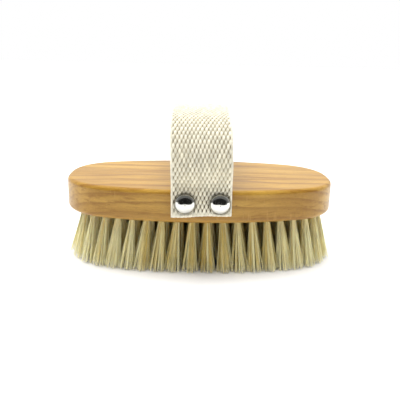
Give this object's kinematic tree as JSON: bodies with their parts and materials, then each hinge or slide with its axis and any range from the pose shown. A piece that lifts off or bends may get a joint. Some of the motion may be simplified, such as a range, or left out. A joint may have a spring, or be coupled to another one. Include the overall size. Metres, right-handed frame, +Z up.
{
  "type": "body dry brush",
  "caption": "Oval wooden dry brush for the body, with natural bristle tufts below and a webbing hand strap nailed over the block.",
  "frame": {"origin": "on the plane of the bristle tips, under the middle of the block", "axes": "+X along the block's length, +Y from front to back across the strap's run, +Z up from the bristle tips to the strap"},
  "size_m": [0.1374, 0.0864, 0.078],
  "materials": {
    "beech": "fine sanded, lightly oiled",
    "webbing": "undyed cotton, coarse plain weave",
    "nail_steel": "polished nickel plate",
    "bristle": "natural pale bristle",
    "anchor_wire": "bare flat wire"
  },
  "bodies": {
    "block": {"anchors_centre_row": "anchor_wire", "anchors_inner_back_left": "anchor_wire", "anchors_inner_back_right": "anchor_wire", "anchors_inner_front_left": "anchor_wire", "anchors_inner_front_right": "anchor_wire", "anchors_outer_back_left": "anchor_wire", "anchors_outer_back_right": "anchor_wire", "anchors_outer_front_left": "anchor_wire", "anchors_outer_front_right": "anchor_wire", "anchors_second_back_left": "anchor_wire", "anchors_second_back_right": "anchor_wire", "anchors_second_front_left": "anchor_wire", "anchors_second_front_right": "anchor_wire", "anchors_third_back_left": "anchor_wire", "anchors_third_back_right": "anchor_wire", "anchors_third_front_left": "anchor_wire", "anchors_third_front_right": "anchor_wire", "nail_back_left": "nail_steel", "nail_back_right": "nail_steel", "nail_front_left": "nail_steel", "nail_front_right": "nail_steel", "strap_back_tab": "webbing", "strap_front_tab": "webbing", "tufts_centre_row": "bristle", "tufts_inner_back_left": "bristle", "tufts_inner_back_right": "bristle", "tufts_inner_front_left": "bristle", "tufts_inner_front_right": "bristle", "tufts_outer_back_left": "bristle", "tufts_outer_back_right": "bristle", "tufts_outer_front_left": "bristle", "tufts_outer_front_right": "bristle", "tufts_second_back_left": "bristle", "tufts_second_back_right": "bristle", "tufts_second_front_left": "bristle", "tufts_second_front_right": "bristle", "tufts_third_back_left": "bristle", "tufts_third_back_right": "bristle", "tufts_third_front_left": "bristle", "tufts_third_front_right": "bristle", "wood_block": "beech"},
    "strap_front_side": {"strap_front_side": "webbing"},
    "strap_top": {"strap_top": "webbing"},
    "strap_back_side": {"strap_back_side": "webbing"}
  },
  "joints": [
    {"name": "strap_lean", "type": "hinge", "parent": "block", "child": "strap_front_side", "pos_m": [0, -0.039, 0.0427], "axis": [1, 0, 0], "range_deg": [-25, 25], "stiffness_Nm_per_rad": 0.02},
    {"name": "strap_front_bend", "type": "hinge", "parent": "strap_front_side", "child": "strap_top", "pos_m": [0, -0.039, 0.06713], "axis": [1, 0, 0], "range_deg": [-25, 25]},
    {"name": "strap_back_bend", "type": "hinge", "parent": "strap_top", "child": "strap_back_side", "pos_m": [0, 0.039, 0.06713], "axis": [1, 0, 0], "range_deg": [-25, 25]}
  ],
  "couplings": [
    {"joint": "strap_front_bend", "follows": "strap_lean", "ratio": -1},
    {"joint": "strap_back_bend", "follows": "strap_lean", "ratio": 1}
  ]
}
